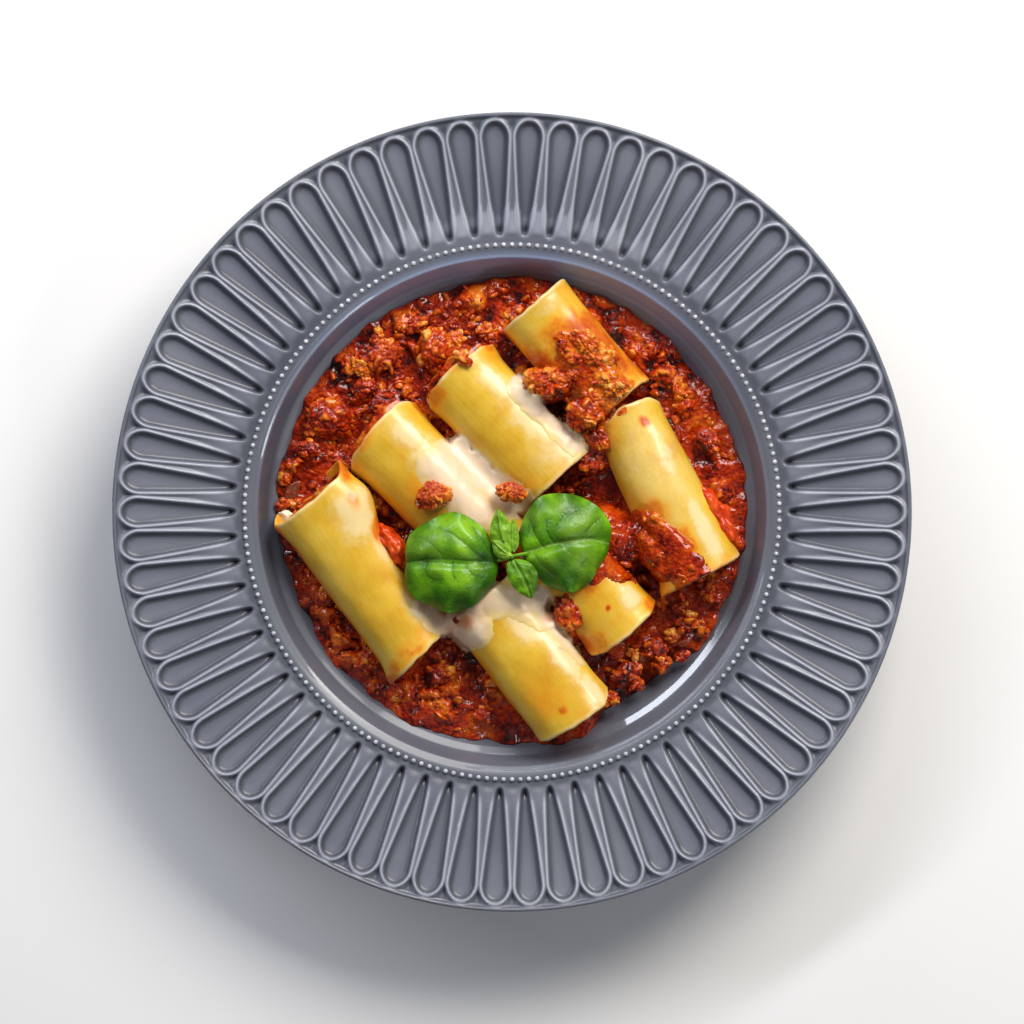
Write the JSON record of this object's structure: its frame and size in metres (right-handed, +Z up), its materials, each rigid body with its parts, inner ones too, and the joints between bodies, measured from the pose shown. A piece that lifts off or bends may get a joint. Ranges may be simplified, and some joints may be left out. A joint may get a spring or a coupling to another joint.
{
  "type": "plate of cannelloni",
  "caption": "Filled pasta tubes in ragu with white sauce and a basil sprig, served on a round deep plate with a fluted, beaded rim.",
  "frame": {"origin": "on the table, under the middle of the plate's foot ring", "axes": "+Z up; +X to the eater's right and +Y away from the eater, with the pasta tubes running from back left to front right"},
  "size_m": [0.2798, 0.28, 0.0421],
  "materials": {
    "slate_glaze": "gloss",
    "cooked_pasta": "moist satin",
    "filling": "moist",
    "ragu": "wet gloss",
    "browned_mince": "moist",
    "tomato": "wet gloss",
    "white_sauce": "moist gloss",
    "onion": "wet gloss",
    "basil": "satin leaf"
  },
  "bodies": {
    "root": {"plate": "slate_glaze", "pasta_1": "cooked_pasta", "pasta_2": "cooked_pasta", "pasta_3": "cooked_pasta", "pasta_4": "cooked_pasta", "pasta_5": "cooked_pasta", "pasta_6": "cooked_pasta", "pasta_7": "cooked_pasta", "filling_1": "filling", "filling_2": "filling", "filling_3": "filling", "filling_4": "filling", "filling_5": "filling", "filling_6": "filling", "filling_7": "filling", "ragu": "ragu", "meat_1": "browned_mince", "meat_2": "browned_mince", "meat_3": "browned_mince", "tomato_1": "tomato", "tomato_2": "tomato", "basil_sprig": "basil"}
  },
  "joints": []
}
